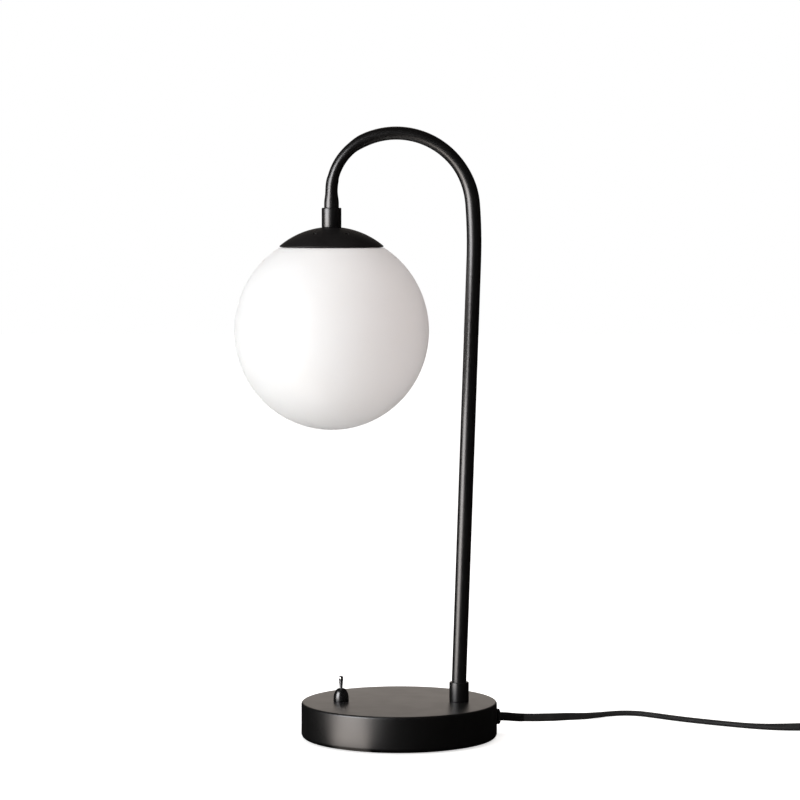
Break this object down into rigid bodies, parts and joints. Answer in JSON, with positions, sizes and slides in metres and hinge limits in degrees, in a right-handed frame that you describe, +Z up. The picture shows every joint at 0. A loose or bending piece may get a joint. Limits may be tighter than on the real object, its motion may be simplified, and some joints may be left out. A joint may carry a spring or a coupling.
{
  "type": "table lamp",
  "caption": "Crook-neck table lamp: opal glass globe hung from a bent black tube on a weighted round base, with a toggle switch, flat cord and plug.",
  "frame": {"origin": "centre of the round base, on the table", "axes": "+Z up, +X from the globe towards the stem and the cord's outlet, -Y to the front"},
  "size_m": [0.6167, 0.1908, 0.4984],
  "materials": {
    "satin_black_steel": "satin black powder coat on spun steel",
    "black_tube": "semi-gloss black lacquer on bent steel tube",
    "matte_black_cap": "matt black powder coat on spun steel",
    "black_nickel": "gloss black nickel",
    "chrome_lever": "polished chrome",
    "zinc_steel": "bright zinc-plated steel",
    "spring_steel": "rolled stainless spring strip",
    "turned_brass": "turned brass, bare",
    "cast_iron": "rough cast iron",
    "opal_glass": "triplex opal glass, satin outside",
    "frosted_glass": "inner-frosted lamp glass",
    "plain_aluminium": "drawn aluminium",
    "black_thermoplastic": "matt black heat-resistant moulding",
    "glazed_ceramic": "glazed white steatite",
    "phenolic_red": "red-brown phenolic moulding",
    "terminal_white": "white nylon moulding",
    "lead_insulation": "single-core insulation, one brown and one blue",
    "foam_pad": "self-adhesive foam rubber",
    "cord_sheath": "soft black PVC sheath with a dull sheen",
    "moulded_pvc": "black PVC moulding, fine matt grain",
    "nickel_pins": "nickel-plated brass"
  },
  "bodies": {
    "lamp": {"base_housing": "satin_black_steel", "base_weight": "cast_iron", "base_plate": "zinc_steel", "foot_pad": "foam_pad", "base_screws": "zinc_steel", "lower_collar": "black_tube", "lower_nipple": "turned_brass", "lower_washer": "zinc_steel", "lower_nut": "turned_brass", "stem_tube": "black_tube", "stem_leads": "lead_insulation", "upper_collar": "black_tube", "upper_nipple": "turned_brass", "upper_nut": "turned_brass", "star_washer": "zinc_steel", "globe_cap": "matte_black_cap", "globe_springs": "spring_steel", "globe": "opal_glass", "holder_cap": "black_thermoplastic", "holder_sleeve": "black_thermoplastic", "holder_core": "glazed_ceramic", "holder_shell": "turned_brass", "centre_contact": "turned_brass", "bulb_glass": "frosted_glass", "bulb_base": "plain_aluminium", "bulb_contact": "plain_aluminium", "switch_body": "phenolic_red", "switch_bushing": "zinc_steel", "switch_hex_nut": "zinc_steel", "switch_dome_nut": "black_nickel", "switch_pin": "zinc_steel", "switch_lugs": "turned_brass", "terminal_block": "terminal_white", "terminal_screws": "zinc_steel", "base_leads": "lead_insulation", "cord_grommet": "moulded_pvc", "cord_tail": "cord_sheath", "cord_sleeve": "moulded_pvc", "cord_run": "cord_sheath", "cord_coil": "cord_sheath", "cord_tie": "black_thermoplastic", "cord_end": "cord_sheath", "plug_body": "moulded_pvc", "plug_relief": "moulded_pvc", "plug_pins": "nickel_pins"},
    "lever": {"switch_lever": "chrome_lever"}
  },
  "joints": [
    {"name": "switch_toggle", "type": "hinge", "parent": "lamp", "child": "lever", "pos_m": [-0.0475, 0, 0.0364], "axis": [-1, 0, 0], "range_deg": [0, 25]}
  ]
}
